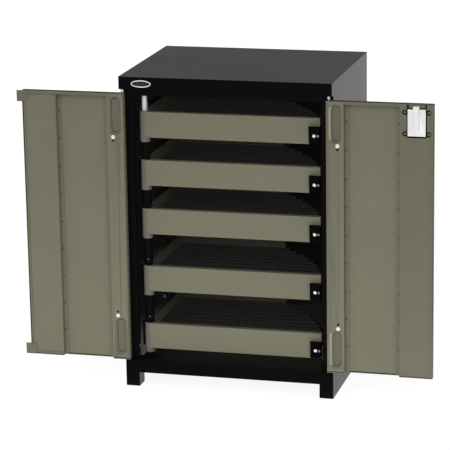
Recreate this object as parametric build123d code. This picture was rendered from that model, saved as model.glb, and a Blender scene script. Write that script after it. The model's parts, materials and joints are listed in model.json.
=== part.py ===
from build123d import *
import math
import os

# Tool side cabinet: a steel cabinet with two inset doors and five trays that
# swing out on one upright pole. Lengths are in millimetres.
#
# The body is drawn with x from its left side, y from the front of the cap
# towards the back and z from the underside of its feet. Each piece is moved
# to the shared frame when it is written: the origin is then on the floor, in
# the middle of the body, and the front faces -Y.

# Whole body
width = 762.0
depth = 610.0
body_height = 1132.0
cap_height = 45.0
sheet = 2.5
leveller_height = 5.0

# Front frame
door_recess = 25.0
post_width = 41.0
post_depth = 22.0
rail_height = 26.0
base_height = 98.0
toe_gap = 51.0
base_depth = 157.0
foot_width = 47.5
foot_depth = 60.0
back_gap = 26.0

# Doors
door_thickness = 21.6
door_side_gap = 5.0
door_meeting_gap = 6.0
door_floor_gap = 3.0
door_top_gap = 13.0
hinge_inset = 12.0
hinge_depth = 5.0
door_sheet = 2.0
hinge_channel_width = 62.0
left_channel_width = 124.0
right_channel_width = 117.0
weld_flange = 14.0
flange_sheet = 1.5
top_flange = 11.0
bottom_lip = 5.0
slot_from_hinge = 32.0
slot_width = 46.0
slot_height = 141.0
slot_end_gap = 8.5
low_slot_end_gap = 15.5
slot_depth = 9.0
slot_slope = 40.0
slot_sheet = 1.5
tab_length = 40.0
tab_reach = 18.5
tab_root = 22.0
pin_radius = 2.75
pin_collar_radius = 4.8
pin_reach = 22.0

# Lock on the right door
lock_from_free_edge = 89.4
lock_from_top = 111.0
lock_width = 62.0
lock_height = 92.5
lock_back = 6.0
lock_proud = 3.0
lock_gap = 4.0
bracket_sheet = 2.5
boss_radius = 5.5
boss_hole_radius = 9.0
boss_side = 10.0
boss_top = 10.5
boss_bottom = 7.0
bolt_inset = 18.1
bolt_width = 21.0
bolt_rise = 22.0
bolt_length = 80.5
bolt_thickness = 10.4
bolt_slot_gap = 1.5
cylinder_radius = 8.0
cylinder_flange = 11.0
cylinder_rise = 43.0
cylinder_proud = 2.8
key_slot_width = 2.0
key_slot_height = 9.0

# Swing trays, measured from the pole's axis and from the tray's underside
pole_x = 75.5
pole_y = 62.0
pole_radius = 9.75
tray_names = ["top", "upper", "middle", "lower", "bottom"]
gaps_above = [86.0, 82.0, 85.5, 118.5, 121.5]
gap_below_last = 35.5
tray_height = 92.0
tray_sheet = 2.0
tray_floor = 3.0
front_thickness = 22.0
front_start = 4.0
tray_side_gap = 7.5
notch_width = 40.0
notch_height = 62.0
rim_inset = 6.5
rim_height = 35.0
wall_outer = 31.0
wall_thickness = 28.0
wall_start = 12.0
tray_rear_gap = 55.9
rear_thickness = 30.6
barrel_radius = 18.0
barrel_below = 18.0
spacer_radius = 17.0
rib_count = 12
rib_width = 14.0
rib_first = -0.9
rib_last_past = 2.1
rib_top = 51.0
rib_inset = 12.0
rib_sheet = 1.5
liner_sheet = 1.0
liner_inset = 3.0
stop_from_rear = 102.6
stop_length = 40.0
stop_rise = 11.0

# Tray latch, drawn level and then let down to its resting angle
latch_angle = 5.8
lever_turn = math.degrees(0.1)
lever_thickness = 4.0
lever_gap = 0.5
lever_low = 2.0
lever_high = 33.0
lever_front = -25.0
lever_rear = 134.0
lever_pivot_y = 117.0
lever_pivot_z = 18.0
leg_width = 21.0
leg_top = 61.5
lever_tab_sheet = 2.5
lever_tab_inset = 4.0
lever_tab_rise = 12.0
thumb_width = 39.0
thumb_past_rim = 7.0
thumb_front = -33.0
thumb_low = 21.0
thumb_high = 80.0
pivot_head_radius = 8.5
pivot_head_height = 3.5
pivot_radius = 4.0

# Cap lip, pole brackets and levelling feet
cap_lip_front = 50.0
cap_lip = 25.0
bracket = 3.0
bracket_width = 48.0
bracket_reach = 25.0
stem_radius = 4.0
stem_length = 26.0
pad_radius = 15.0
pad_height = 4.0
neck_radius = 8.0

# Clearances
running = 0.05
free_gap = 0.3

# Sizes that follow from the ones above
front_y = door_recess
post_inner = sheet + post_width
cap_low = body_height - cap_height
door_low = base_height + door_floor_gap
door_high = cap_low - door_top_gap
door_height = door_high - door_low
door_width = (width - 2 * door_side_gap - door_meeting_gap) / 2
lock_left = door_width - lock_from_free_edge
lock_low = door_height - lock_from_top
bolt_left = lock_left + bolt_inset
bolt_low = lock_low + bolt_rise
cylinder_height = lock_low + cylinder_rise
front_reach = width - post_inner - tray_side_gap - pole_x
rim_radius = front_reach - rim_inset
thumb_right = rim_radius + thumb_past_rim
thumb_left = thumb_right - thumb_width
wall_inner = wall_thickness - wall_outer
tray_depth = depth - sheet - tray_rear_gap - pole_y
inner_back = tray_depth - rear_thickness
rib_pitch = (inner_back + rib_last_past - rib_first) / (rib_count - 1)
stop_start = tray_depth - stop_from_rear

# The trays share the pole's free length in the proportions of the gaps.
free_length = cap_low - base_height - len(tray_names) * tray_height
gap_scale = free_length / (sum(gaps_above) + gap_below_last)
tray_tops = []
tray_lows = []
tray_edge = cap_low
for gap in gaps_above:
    tray_tops.append(tray_edge - gap * gap_scale)
    tray_edge = tray_tops[-1] - tray_height
    tray_lows.append(tray_edge)


def block(x0, x1, y0, y1, z0, z1):
    """A box between two corners."""
    middle = Pos((x0 + x1) / 2, (y0 + y1) / 2, (z0 + z1) / 2)
    return middle * Box(x1 - x0, y1 - y0, z1 - z0)


def rod(x, y, z0, z1, radius):
    """An upright cylinder."""
    return Pos(x, y, (z0 + z1) / 2) * Cylinder(radius, z1 - z0)


def save(name, shapes):
    """Move the shapes to the shared frame and write them as one STEP file."""
    if not isinstance(shapes, list):
        shapes = [shapes]
    shift = Location((-width / 2, -depth / 2, leveller_height))
    solids = []
    for shape in shapes:
        solids.extend(shape.moved(shift).solids())
    whole = solids[0] if len(solids) == 1 else Compound(children=solids)
    export_step(whole, "parts/" + name + ".step")
    box = whole.bounding_box()
    print(name, len(solids), [round(v, 1) for v in (box.min.X, box.min.Y, box.min.Z)],
          [round(v, 1) for v in (box.max.X, box.max.Y, box.max.Z)])


# Body panels

def side_panel(x0):
    """A side sheet: full depth low down, set back above for the doors."""
    low = block(x0, x0 + sheet, 0, depth - sheet, 0, base_height)
    high = block(x0, x0 + sheet, front_y, depth - sheet, base_height, cap_low)
    return low + high


def back_panel():
    return block(0, width, depth - sheet, depth, back_gap, cap_low)


def top_cap():
    """A folded cap with a lip turned in all round under its edge."""
    cap = block(0, width, 0, depth, cap_low, body_height)
    cap -= block(sheet, width - sheet, sheet, depth - sheet, cap_low + sheet, body_height - sheet)
    cap -= block(cap_lip, width - cap_lip, cap_lip_front, depth - cap_lip, cap_low - 1, cap_low + sheet + 1)
    for x in (hinge_inset, width - hinge_inset):
        cap -= rod(x, hinge_depth, cap_low - 1, cap_low + sheet + 1, pin_radius)
    # The lock's bolt rises through this slot when the doors are shut.
    bolt_x = width - door_side_gap - bolt_left - bolt_width
    bolt_y = door_thickness + lock_proud - bolt_thickness
    cap -= block(bolt_x - bolt_slot_gap, bolt_x + bolt_width + bolt_slot_gap, bolt_y - bolt_slot_gap,
                 bolt_y + bolt_thickness + bolt_slot_gap, cap_low - 1, cap_low + sheet + 1)
    return cap


def channel_post(x0, x1):
    """A folded post, open towards the back."""
    z0 = base_height
    z1 = cap_low
    post = block(x0, x1, front_y, front_y + post_depth, z0, z1)
    post -= block(x0 + sheet, x1 - sheet, front_y + sheet, front_y + post_depth + 1, z0 - 1, z1 + 1)
    return post


def top_rail():
    """The rail under the cap, open towards the back."""
    x0 = post_inner
    x1 = width - post_inner
    z0 = cap_low - rail_height
    rail = block(x0, x1, front_y, front_y + post_depth, z0, cap_low)
    rail -= block(x0 - 1, x1 + 1, front_y + sheet, front_y + post_depth + 1, z0 + sheet, cap_low - sheet)
    return rail


def base_channel():
    """The front channel over the toe gap: front, top, rear edge and lower lip."""
    x0 = sheet + foot_width
    x1 = width - x0
    channel = block(x0, x1, 0, sheet, toe_gap, base_height)
    channel += block(x0, x1, 0, base_depth, base_height - sheet, base_height)
    channel += block(x0, x1, base_depth - sheet, base_depth, base_height - 20, base_height)
    channel += block(x0, x1, 0, 16, toe_gap, toe_gap + sheet)
    return channel


def corner_foot(x0, y0, open_back):
    """A folded corner foot, open on the side that faces into the cabinet."""
    x1 = x0 + foot_width
    y1 = y0 + foot_depth
    foot = block(x0, x1, y0, y1, 0, base_height)
    if open_back:
        foot -= block(x0 + sheet, x1 - sheet, y0 + sheet, y1 + 1, sheet, base_height - sheet)
    else:
        foot -= block(x0 + sheet, x1 - sheet, y0 - 1, y1 - sheet, sheet, base_height - sheet)
    foot -= rod((x0 + x1) / 2, (y0 + y1) / 2, -1, sheet + 1, stem_radius)
    return foot


def foot_places():
    rights = width - sheet - foot_width
    backs = depth - sheet - foot_depth
    return [(sheet, 0.0, True), (rights, 0.0, True), (sheet, backs, False), (rights, backs, False)]


def corner_feet():
    feet = []
    for x0, y0, open_back in foot_places():
        foot = corner_foot(x0, y0, open_back)
        if y0 == 0.0:
            pin_x = hinge_inset if x0 < width / 2 else width - hinge_inset
            foot -= rod(pin_x, hinge_depth, base_height - sheet - 1, base_height + 1, pin_radius)
        feet.append(foot)
    return feet


def levelling_feet():
    """A pad and a threaded stem under each corner foot."""
    levellers = []
    for x0, y0, open_back in foot_places():
        x = x0 + foot_width / 2
        y = y0 + foot_depth / 2
        pad_top = pad_height - leveller_height
        pad = rod(x, y, -leveller_height, pad_top, pad_radius)
        neck = rod(x, y, pad_top, 0.0, neck_radius)
        stem = rod(x, y, 0.0, stem_length, stem_radius)
        levellers.append(pad + neck + stem)
    return levellers


# Pole, spacers and brackets

def hinge_pole():
    return rod(pole_x, pole_y, base_height, cap_low, pole_radius)


def pole_brackets():
    """The plates that hold the pole's two ends."""
    plates = []
    for z0 in (base_height, cap_low - bracket):
        y0 = front_y + post_depth if z0 > base_height else pole_y - bracket_reach
        plate = block(pole_x - bracket_width / 2, pole_x + bracket_width / 2, y0, pole_y + bracket_reach,
                      z0, z0 + bracket)
        plate -= rod(pole_x, pole_y, z0 - 1, z0 + bracket + 1, pole_radius)
        plates.append(plate)
    return plates


def pole_spacers():
    """The tubes on the pole between one tray's barrel and the next."""
    spacers = []
    for number in range(len(tray_lows)):
        z1 = tray_lows[number] - barrel_below - free_gap
        if number + 1 < len(tray_lows):
            z0 = tray_tops[number + 1] + free_gap
        else:
            z0 = base_height + bracket
        tube = rod(pole_x, pole_y, z0, z1, spacer_radius)
        tube -= rod(pole_x, pole_y, z0 - 1, z1 + 1, pole_radius)
        spacers.append(tube)
    return spacers


# Trays

def at_pole(shape, tray_low):
    """Move a shape drawn about the pole to one tray's place."""
    return shape.moved(Location((pole_x, pole_y, tray_low)))


def tray_outline(radius, left, back, front):
    """The tray's plan: straight on three sides, an arc about the pole on the fourth."""
    end_x = math.sqrt(radius ** 2 - back ** 2)
    start_x = math.sqrt(radius ** 2 - front ** 2)
    middle = (math.atan2(front, start_x) + math.atan2(back, end_x)) / 2
    way = (radius * math.cos(middle), radius * math.sin(middle))
    lines = Line((left, front), (start_x, front))
    lines += ThreePointArc((start_x, front), way, (end_x, back))
    lines += Line((end_x, back), (left, back))
    lines += Line((left, back), (left, front))
    return make_face(Wire(lines.edges()))


def tray_pan():
    """Floor, low curved rim, tall left wall and tall rear wall, folded as box sections."""
    end_x = math.sqrt(rim_radius ** 2 - tray_depth ** 2)
    pan = extrude(tray_outline(rim_radius, wall_inner, tray_depth, 0.0), rim_height)
    hollow = tray_outline(rim_radius - tray_sheet, wall_inner - 5, inner_back, -5.0)
    pan -= Pos(0, 0, tray_floor) * extrude(hollow, rim_height)
    wall = block(-wall_outer, wall_inner, wall_start, tray_depth, 0, tray_height)
    wall -= block(-wall_outer + tray_sheet, wall_inner - tray_sheet, wall_start + tray_sheet,
                  tray_depth - tray_sheet, -1, tray_height - tray_sheet)
    rear = block(wall_inner - tray_sheet, end_x, inner_back, tray_depth, 0, tray_height)
    rear_room = block(wall_inner - tray_sheet - 1, end_x - tray_sheet, inner_back + tray_sheet,
                      tray_depth - tray_sheet, -1, tray_height - tray_sheet)
    pan = pan + wall + rear - rear_room
    pan += block(-wall_outer - tray_sheet, -wall_outer, stop_start, stop_start + stop_length,
                 tray_height - 20, tray_height + stop_rise)
    pan -= rod(0, 0, -1, tray_height + 1, barrel_radius)
    pan -= latch_axis_rod(-20, 0.5, pivot_radius)
    return pan


def tray_front():
    """The tray's front, cut away at its lower right for the latch."""
    notch_x = front_reach - notch_width
    panel = block(front_start, notch_x, -front_thickness, 0, 0, tray_height)
    panel -= block(front_start + tray_sheet, notch_x - tray_sheet, -front_thickness + tray_sheet, -tray_sheet,
                   -1, tray_height - tray_sheet)
    strip = block(notch_x, front_reach, -front_thickness, 0, notch_height, tray_height)
    strip -= block(notch_x - 1, front_reach - tray_sheet, -front_thickness + tray_sheet, -tray_sheet,
                   notch_height - 1, tray_height - tray_sheet)
    panel += strip
    panel -= rod(0, 0, -1, tray_height + 1, barrel_radius)
    return panel


def tray_barrel():
    """The tube that turns on the pole."""
    tube = rod(0, 0, -barrel_below, tray_height, barrel_radius)
    tube -= rod(0, 0, -barrel_below - 1, tray_height + 1, pole_radius + running)
    return tube


def tray_liner():
    """The black sheet under the dividers, turned up behind their ends."""
    liner = extrude(tray_outline(rim_radius - liner_inset, wall_inner, inner_back, 0.0), liner_sheet)
    liner += block(wall_inner, wall_inner + rib_sheet, 0, inner_back, 0, rib_top - tray_floor)
    liner -= rod(0, 0, -1, rib_top, barrel_radius)
    return Pos(0, 0, tray_floor) * liner


def tray_ribs():
    """The folded dividers on the liner, open underneath; the outer two are narrower."""
    ribs = []
    z0 = tray_floor + liner_sheet
    rib_reach = rim_radius - rib_inset
    for number in range(rib_count):
        middle = rib_first + rib_pitch * number
        y0 = max(0.0, middle - rib_width / 2)
        y1 = min(inner_back, middle + rib_width / 2)
        x0 = wall_inner + rib_sheet if number else barrel_radius
        x1 = math.sqrt(rib_reach ** 2 - y1 ** 2)
        rib = block(x0, x1, y0, y1, z0, rib_top)
        rib -= block(x0 + rib_sheet, x1 - rib_sheet, y0 + rib_sheet, y1 - rib_sheet,
                     z0 - 1, rib_top - rib_sheet)
        ribs.append(rib)
    return ribs


# Latch. The lever lies on a line turned a little from the tray's side, so it
# is drawn square to x at a distance from the pole, then turned about the pole.

def lever_line():
    """Distance of the lever's inner face from the pole."""
    return rim_radius + lever_gap


def turn_lever(shape):
    return Rot(0, 0, lever_turn) * shape


def latch_axis_rod(start, end, radius):
    """A round bar on the latch's pivot, from start to end beyond the lever's inner face."""
    y = lever_pivot_y / math.cos(math.radians(lever_turn))
    y -= lever_line() * math.tan(math.radians(lever_turn))
    length = end - start
    bar = Pos(lever_line() + (start + end) / 2, y, lever_pivot_z)
    bar *= Rot(0, 90, 0) * Cylinder(radius, length)
    return turn_lever(bar)


def lower_latch(shape):
    """Let the level latch down to its resting angle about its pivot."""
    turn = math.radians(lever_turn)
    y = lever_pivot_y / math.cos(turn) - lever_line() * math.tan(turn)
    px = lever_line() * math.cos(turn) - y * math.sin(turn)
    py = lever_line() * math.sin(turn) + y * math.cos(turn)
    axis = Axis((px, py, lever_pivot_z), (math.cos(turn), math.sin(turn), 0))
    return shape.rotate(axis, latch_angle)


def latch_lever():
    """Long arm with a round rear end, front leg and the tab behind the thumb plate."""
    shift = lever_line() * math.tan(math.radians(lever_turn))
    y0 = lever_front - shift
    y1 = lever_rear - shift
    x0 = lever_line()
    x1 = x0 + lever_thickness
    middle = (lever_low + lever_high) / 2
    half = (lever_high - lever_low) / 2
    arm = block(x0, x1, y0, y1 - half, lever_low, lever_high)
    end = Pos((x0 + x1) / 2, y1 - half, middle) * Rot(0, 90, 0) * Cylinder(half, lever_thickness)
    leg = block(x0, x1, y0, y0 + leg_width, lever_low, leg_top)
    lever = turn_lever(arm + end + leg)
    tab = block(thumb_left + lever_tab_inset, thumb_right + lever_gap, lever_front,
                lever_front + lever_tab_sheet, thumb_low + lever_tab_inset, leg_top + lever_tab_rise)
    lever += tab
    lever -= latch_axis_rod(-5, lever_thickness + 5, pivot_radius + running)
    return lower_latch(lever)


def thumb_plate():
    """The black plate that the thumb lifts."""
    plate = block(thumb_left, thumb_right, thumb_front, lever_front, thumb_low, thumb_high)
    upright = [e for e in plate.edges().filter_by(Axis.Z) if e.center().Y < thumb_front + 1]
    plate = fillet(upright, 3.0)
    return lower_latch(plate)


def latch_pivot():
    """The shouldered screw that the lever turns on."""
    rim_gap = -2.2
    screw = latch_axis_rod(-6, lever_thickness + free_gap, pivot_radius)
    screw += latch_axis_rod(lever_thickness + free_gap, lever_thickness + free_gap + pivot_head_height,
                            pivot_head_radius)
    screw += latch_axis_rod(rim_gap, -free_gap, pivot_radius + 3)
    return screw


# Doors, drawn shut with u from the hinge edge; the left one is then mirrored.

def door_skin(with_lock):
    """Outer sheet, four edges, the flange along the top and the short lip along the foot."""
    t = door_thickness
    s = door_sheet
    skin = block(0, door_width, 0, t, 0, door_height)
    skin -= block(s, door_width - s, s, t + 1, s, door_height - s)
    channel = right_channel_width if with_lock else left_channel_width
    u0 = hinge_channel_width
    u1 = door_width - channel
    skin += block(u0, u1, t - s, t, door_height - top_flange, door_height - s)
    skin -= block(u0, u1, bottom_lip, t + 1, -1, s + 1)
    pin_u = hinge_inset - door_side_gap
    for z0 in (-1.0, door_height - s - 1.0):
        skin -= rod(pin_u, hinge_depth, z0, z0 + s + 2.0, pin_radius + running)
    if with_lock:
        bolt_y = door_thickness + lock_proud - bolt_thickness
        skin -= block(bolt_left - bolt_slot_gap, bolt_left + bolt_width + bolt_slot_gap,
                      bolt_y - bolt_slot_gap, t + 1, door_height - s - 1, door_height + 1)
        hole = Pos(bolt_left + bolt_width / 2, 0, cylinder_height)
        skin -= hole * Rot(90, 0, 0) * Cylinder(cylinder_radius + running, 4 * s)
    return skin


def door_channel(u0, u1, flange_side):
    """A box channel on the door's inner side with a flange welded to the skin."""
    s = door_sheet
    t = door_thickness
    z0 = s
    z1 = door_height - s
    channel = block(u0, u1, t - s, t, z0, z1)
    if flange_side > 0:
        channel += block(u1 - s, u1, s, t, z0, z1)
        channel += block(u1, u1 + weld_flange, s, s + flange_sheet, z0, door_height - top_flange - 1)
    else:
        channel += block(u0, u0 + s, s, t, z0, z1)
        channel += block(u0 - weld_flange, u0, s, s + flange_sheet, z0, door_height - top_flange - 1)
    return channel


def pressed_slot(z):
    """A recess with sloping sides: the hole in the channel's web and the cup behind it."""
    place = Pos(slot_from_hinge, door_thickness, z) * Rot(90, 0, 0)
    mouth = place * extrude(SlotOverall(slot_height, slot_width, rotation=90), slot_depth, taper=slot_slope)
    sheet_over = 2 * slot_sheet
    cup = place * extrude(SlotOverall(slot_height + sheet_over, slot_width + sheet_over, rotation=90),
                          slot_depth + slot_sheet, taper=slot_slope)
    return mouth, cup


def hinge_channel():
    """The channel beside the hinge, with a pressed recess near each pin."""
    channel = door_channel(door_sheet, hinge_channel_width, 1)
    top_slot = door_height - slot_end_gap - slot_height / 2
    low_slot = low_slot_end_gap + slot_height / 2
    for z in (top_slot, low_slot):
        mouth, cup = pressed_slot(z)
        channel = channel + cup - mouth
    return channel


def free_channel():
    """The left door's outer channel with the two tabs that the right door shuts on."""
    t = door_thickness
    channel = door_channel(door_width - left_channel_width, door_width - door_sheet, -1)
    for z0 in (0.0, door_height - tab_length):
        channel += block(door_width - tab_root, door_width, t, t + 2.0, z0, z0 + tab_length)
        channel += block(door_width - tab_root, door_width + tab_reach, t + 0.4, t + 2.8, z0, z0 + tab_length)
    return channel


def boss_places():
    """Where the lock bracket's four bosses stand."""
    places = []
    for u in (lock_left - boss_side, lock_left + lock_width + boss_side):
        for z in (lock_low + boss_bottom, lock_low + lock_height - boss_top):
            places.append((u, z))
    return places


def across_door(u, z, y0, y1, radius):
    """A round bar through the door's thickness."""
    return Pos(u, (y0 + y1) / 2, z) * Rot(90, 0, 0) * Cylinder(radius, y1 - y0)


def lock_channel():
    """The right door's outer channel, cut out for the lock and for its bracket's bosses."""
    t = door_thickness
    s = door_sheet
    channel = door_channel(door_width - right_channel_width, door_width - s, -1)
    channel -= block(lock_left - lock_gap, lock_left + lock_width + lock_gap, t - s - 1, t + 1,
                     lock_low - lock_gap, door_height + 1)
    for u, z in boss_places():
        channel -= across_door(u, z, t - s - 1, t + 1, boss_hole_radius)
    return channel


def lock_bracket():
    """The painted plate behind the lock, with a boss beside each corner of the case."""
    side = boss_side + boss_radius
    plate = block(lock_left - side, lock_left + lock_width + side, lock_back - bracket_sheet, lock_back,
                  lock_low, lock_low + lock_height)
    for u, z in boss_places():
        plate += across_door(u, z, lock_back - bracket_sheet, door_thickness - door_sheet / 2, boss_radius)
    u = bolt_left + bolt_width / 2
    plate -= across_door(u, cylinder_height, 0, door_thickness, cylinder_radius + free_gap)
    return plate


def lock_case():
    """The lock's case with a groove for the bolt."""
    front = door_thickness + lock_proud
    case = block(lock_left, lock_left + lock_width, lock_back, front, lock_low, lock_low + lock_height)
    case -= block(bolt_left - free_gap, bolt_left + bolt_width + free_gap, front - bolt_thickness - free_gap,
                  front + 1, bolt_low - free_gap, door_height + 1)
    return case


def lock_bolt():
    t = door_thickness
    bolt_y = t + lock_proud - bolt_thickness
    return block(bolt_left, bolt_left + bolt_width, bolt_y, t + lock_proud, bolt_low, bolt_low + bolt_length)


def lock_cylinder():
    """The key cylinder on the door's outer face."""
    u = bolt_left + bolt_width / 2
    z = cylinder_height
    whole = across_door(u, z, -cylinder_proud, lock_back - free_gap, cylinder_radius)
    whole += across_door(u, z, -cylinder_proud, -free_gap, cylinder_flange)
    whole -= block(u - key_slot_width / 2, u + key_slot_width / 2, -cylinder_proud - 1, -free_gap,
                   z - key_slot_height / 2, z + key_slot_height / 2)
    return whole


def place_door(shape, right):
    """Set a door piece in its shut place, then open it by half a turn."""
    if right:
        shut = shape.mirror(Plane.YZ).moved(Location((width - door_side_gap, 0, door_low)))
        axis_x = width - hinge_inset
    else:
        shut = shape.moved(Location((door_side_gap, 0, door_low)))
        axis_x = hinge_inset
    return shut.rotate(Axis((axis_x, hinge_depth, 0), (0, 0, 1)), 180)


def door_pins():
    """Collared pins that the doors turn on: two above, two below."""
    pins = []
    for x in (hinge_inset, width - hinge_inset):
        upper = rod(x, hinge_depth, door_high - pin_reach, cap_low + sheet, pin_radius)
        upper += rod(x, hinge_depth, door_high + 0.4, cap_low, pin_collar_radius)
        lower = rod(x, hinge_depth, base_height - sheet, door_low + pin_reach, pin_radius)
        lower += rod(x, hinge_depth, base_height, door_low - 0.4, pin_collar_radius)
        pins += [upper, lower]
    return pins


os.makedirs("parts", exist_ok=True)

save("left_side_panel", side_panel(0.0))
save("right_side_panel", side_panel(width - sheet))
save("back_panel", back_panel())
save("top_cap", top_cap())
save("left_post", channel_post(sheet, post_inner))
save("right_post", channel_post(width - post_inner, width - sheet))
save("top_rail", top_rail())
save("base_channel", base_channel())
save("corner_feet", corner_feet())
save("levelling_feet", levelling_feet())
save("hinge_pole", hinge_pole())
save("pole_brackets", pole_brackets())
save("pole_spacers", pole_spacers())
save("door_pins", door_pins())

pan = tray_pan()
front = tray_front()
barrel = tray_barrel()
ribs = tray_ribs()
liner = tray_liner()
lever = latch_lever()
plate = thumb_plate()
pivot = latch_pivot()
for tray, low in zip(tray_names, tray_lows):
    save(tray + "_tray_pan", at_pole(pan, low))
    save(tray + "_tray_front", at_pole(front, low))
    save(tray + "_tray_barrel", at_pole(barrel, low))
    save(tray + "_tray_ribs", [at_pole(piece, low) for piece in ribs + [liner]])
    save(tray + "_latch_pivot", at_pole(pivot, low))
    save(tray + "_latch_lever", at_pole(lever, low))
    save(tray + "_latch_plate", at_pole(plate, low))

save("left_door_skin", place_door(door_skin(False), False))
save("left_door_hinge_channel", place_door(hinge_channel(), False))
save("left_door_free_channel", place_door(free_channel(), False))
save("right_door_skin", place_door(door_skin(True), True))
save("right_door_hinge_channel", place_door(hinge_channel(), True))
save("right_door_lock_channel", place_door(lock_channel(), True))
save("lock_bracket", place_door(lock_bracket(), True))
save("lock_case", place_door(lock_case(), True))
save("lock_bolt", place_door(lock_bolt(), True))
save("lock_cylinder", place_door(lock_cylinder(), True))
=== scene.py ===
# %% [markdown]
# # Tool side cabinet
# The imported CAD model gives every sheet, tube and hinge at its real size. This
# script adds the rounded edges, small fasteners, spot welds, badge, finishes
# and light.

import bmesh
import bpy
import json
import math
from mathutils import Matrix, Vector

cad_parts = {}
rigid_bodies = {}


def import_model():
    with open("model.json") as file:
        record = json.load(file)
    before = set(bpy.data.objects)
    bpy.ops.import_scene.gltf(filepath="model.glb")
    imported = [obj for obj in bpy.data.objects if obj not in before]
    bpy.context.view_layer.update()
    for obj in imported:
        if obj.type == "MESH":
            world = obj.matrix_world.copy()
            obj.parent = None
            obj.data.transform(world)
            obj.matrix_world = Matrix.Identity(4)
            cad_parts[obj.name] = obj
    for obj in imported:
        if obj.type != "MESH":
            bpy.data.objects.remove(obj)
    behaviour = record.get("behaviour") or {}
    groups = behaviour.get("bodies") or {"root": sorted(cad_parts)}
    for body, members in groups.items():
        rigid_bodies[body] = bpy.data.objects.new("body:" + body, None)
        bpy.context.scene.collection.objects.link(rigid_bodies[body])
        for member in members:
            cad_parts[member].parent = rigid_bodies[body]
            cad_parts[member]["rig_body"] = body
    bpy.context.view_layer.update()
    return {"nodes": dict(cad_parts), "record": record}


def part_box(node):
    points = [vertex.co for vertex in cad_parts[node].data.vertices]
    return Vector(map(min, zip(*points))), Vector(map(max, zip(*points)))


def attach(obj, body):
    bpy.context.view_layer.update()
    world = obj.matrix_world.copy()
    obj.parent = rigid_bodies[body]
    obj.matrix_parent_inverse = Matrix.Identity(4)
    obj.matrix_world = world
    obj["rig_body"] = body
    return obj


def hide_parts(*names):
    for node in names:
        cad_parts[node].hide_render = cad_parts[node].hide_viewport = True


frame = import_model()
TRAYS = ["top", "upper", "middle", "lower", "bottom"]

# %% [markdown]
# ## Camera
# The photo was solved from the corners of the cap, feet, doors and trays. A
# camera looks along its own -Z, so its matrix is built from three directions:
# right, up and backwards.

# %% Camera
PHOTO_WIDTH = 450.0
FOCAL_PIXELS = 2337.09
SENSOR_MM = 36.0
FAR_CLIP = 60.0
CAMERA_PLACE = Vector((2.0321, -7.9625, 2.6871))
YAW, PITCH, ROLL = (math.radians(a) for a in (14.890, 14.618, -0.962))


def add_object(name, data):
    """A new object in the scene."""
    made = bpy.data.objects.new(name, data)
    bpy.context.scene.collection.objects.link(made)
    return made


level_forward = Vector((-math.sin(YAW), math.cos(YAW), 0.0))
level_right = Vector((math.cos(YAW), math.sin(YAW), 0.0))
forward = level_forward * math.cos(PITCH) - Vector((0, 0, 1)) * math.sin(PITCH)
level_up = Vector((0, 0, 1)) * math.cos(PITCH) + level_forward * math.sin(PITCH)
right = level_right * math.cos(ROLL) + level_up * math.sin(ROLL)
up = level_up * math.cos(ROLL) - level_right * math.sin(ROLL)

camera_data = bpy.data.cameras.new("photo_camera")
camera_data.sensor_width = SENSOR_MM
camera_data.lens = FOCAL_PIXELS / PHOTO_WIDTH * SENSOR_MM
camera_data.clip_end = FAR_CLIP
camera = add_object("photo_camera", camera_data)
turn = Matrix((right, up, -forward)).transposed().to_4x4()
camera.matrix_world = Matrix.Translation(CAMERA_PLACE) @ turn
bpy.context.scene.camera = camera
print("lens", round(camera_data.lens, 1), "mm")

# %% [markdown]
# ## Node helpers
# Every finish is built from a handful of shader nodes. What several materials
# share is a node group with named sockets, so each can set its own values.

# %% Node helpers
FLOAT = "NodeSocketFloat"
COLOR = "NodeSocketColor"


def new_group(name, inputs, outputs):
    """An empty shader group with named sockets; inputs are (name, kind, value)."""
    group = bpy.data.node_groups.new(name, "ShaderNodeTree")
    for label, kind, value in inputs:
        socket = group.interface.new_socket(label, in_out="INPUT", socket_type=kind)
        socket.default_value = value
    for label, kind in outputs:
        group.interface.new_socket(label, in_out="OUTPUT", socket_type=kind)
    enter = group.nodes.new("NodeGroupInput")
    leave = group.nodes.new("NodeGroupOutput")
    return group, enter, leave


def add_node(tree, kind, feeds=None, **settings):
    """A new node; feeds gives its inputs a value or another node's output."""
    node = tree.nodes.new(kind)
    for key, value in settings.items():
        setattr(node, key, value)
    for label, value in (feeds or {}).items():
        if isinstance(value, bpy.types.NodeSocket):
            tree.links.new(value, node.inputs[label])
        else:
            node.inputs[label].default_value = value
    return node


def add_math(tree, operation, first, second, clamp=False):
    """A Math node fed by sockets or numbers; returns its output."""
    return add_node(tree, "ShaderNodeMath", {0: first, 1: second}, operation=operation, use_clamp=clamp).outputs[0]


def times(tree, first, second):
    """The product of two values."""
    return add_math(tree, "MULTIPLY", first, second)


def add_noise(tree, scale, detail, vector=None):
    """3-D noise over the object, returned as its value socket."""
    if vector is None:
        vector = add_node(tree, "ShaderNodeTexCoord").outputs["Object"]
    return add_node(tree, "ShaderNodeTexNoise", {"Vector": vector, "Scale": scale, "Detail": detail}).outputs["Fac"]


def scale_color(tree, color, gain):
    """A colour times a number; returns the scaled colour."""
    return add_node(tree, "ShaderNodeVectorMath", {0: color, "Scale": gain}, operation="SCALE").outputs[0]


print("node helpers ready")

# %% [markdown]
# ## Powder coat
# Dry paint that is melted on in an oven leaves a faint orange peel, and its
# tone drifts a little over each sheet. A slow noise and a finer one make the
# drift, and a very fine one is the peel.

# %% Powder coat group
DRIFT_SCALE, GRAIN_SCALE = 4.0, 90.0
GRAIN_SHARE = 0.5
DRIFT_MIDDLE = 0.75
DRIFT_TO_COLOR = 2.0
DRIFT_TO_ROUGHNESS = 0.8

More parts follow.
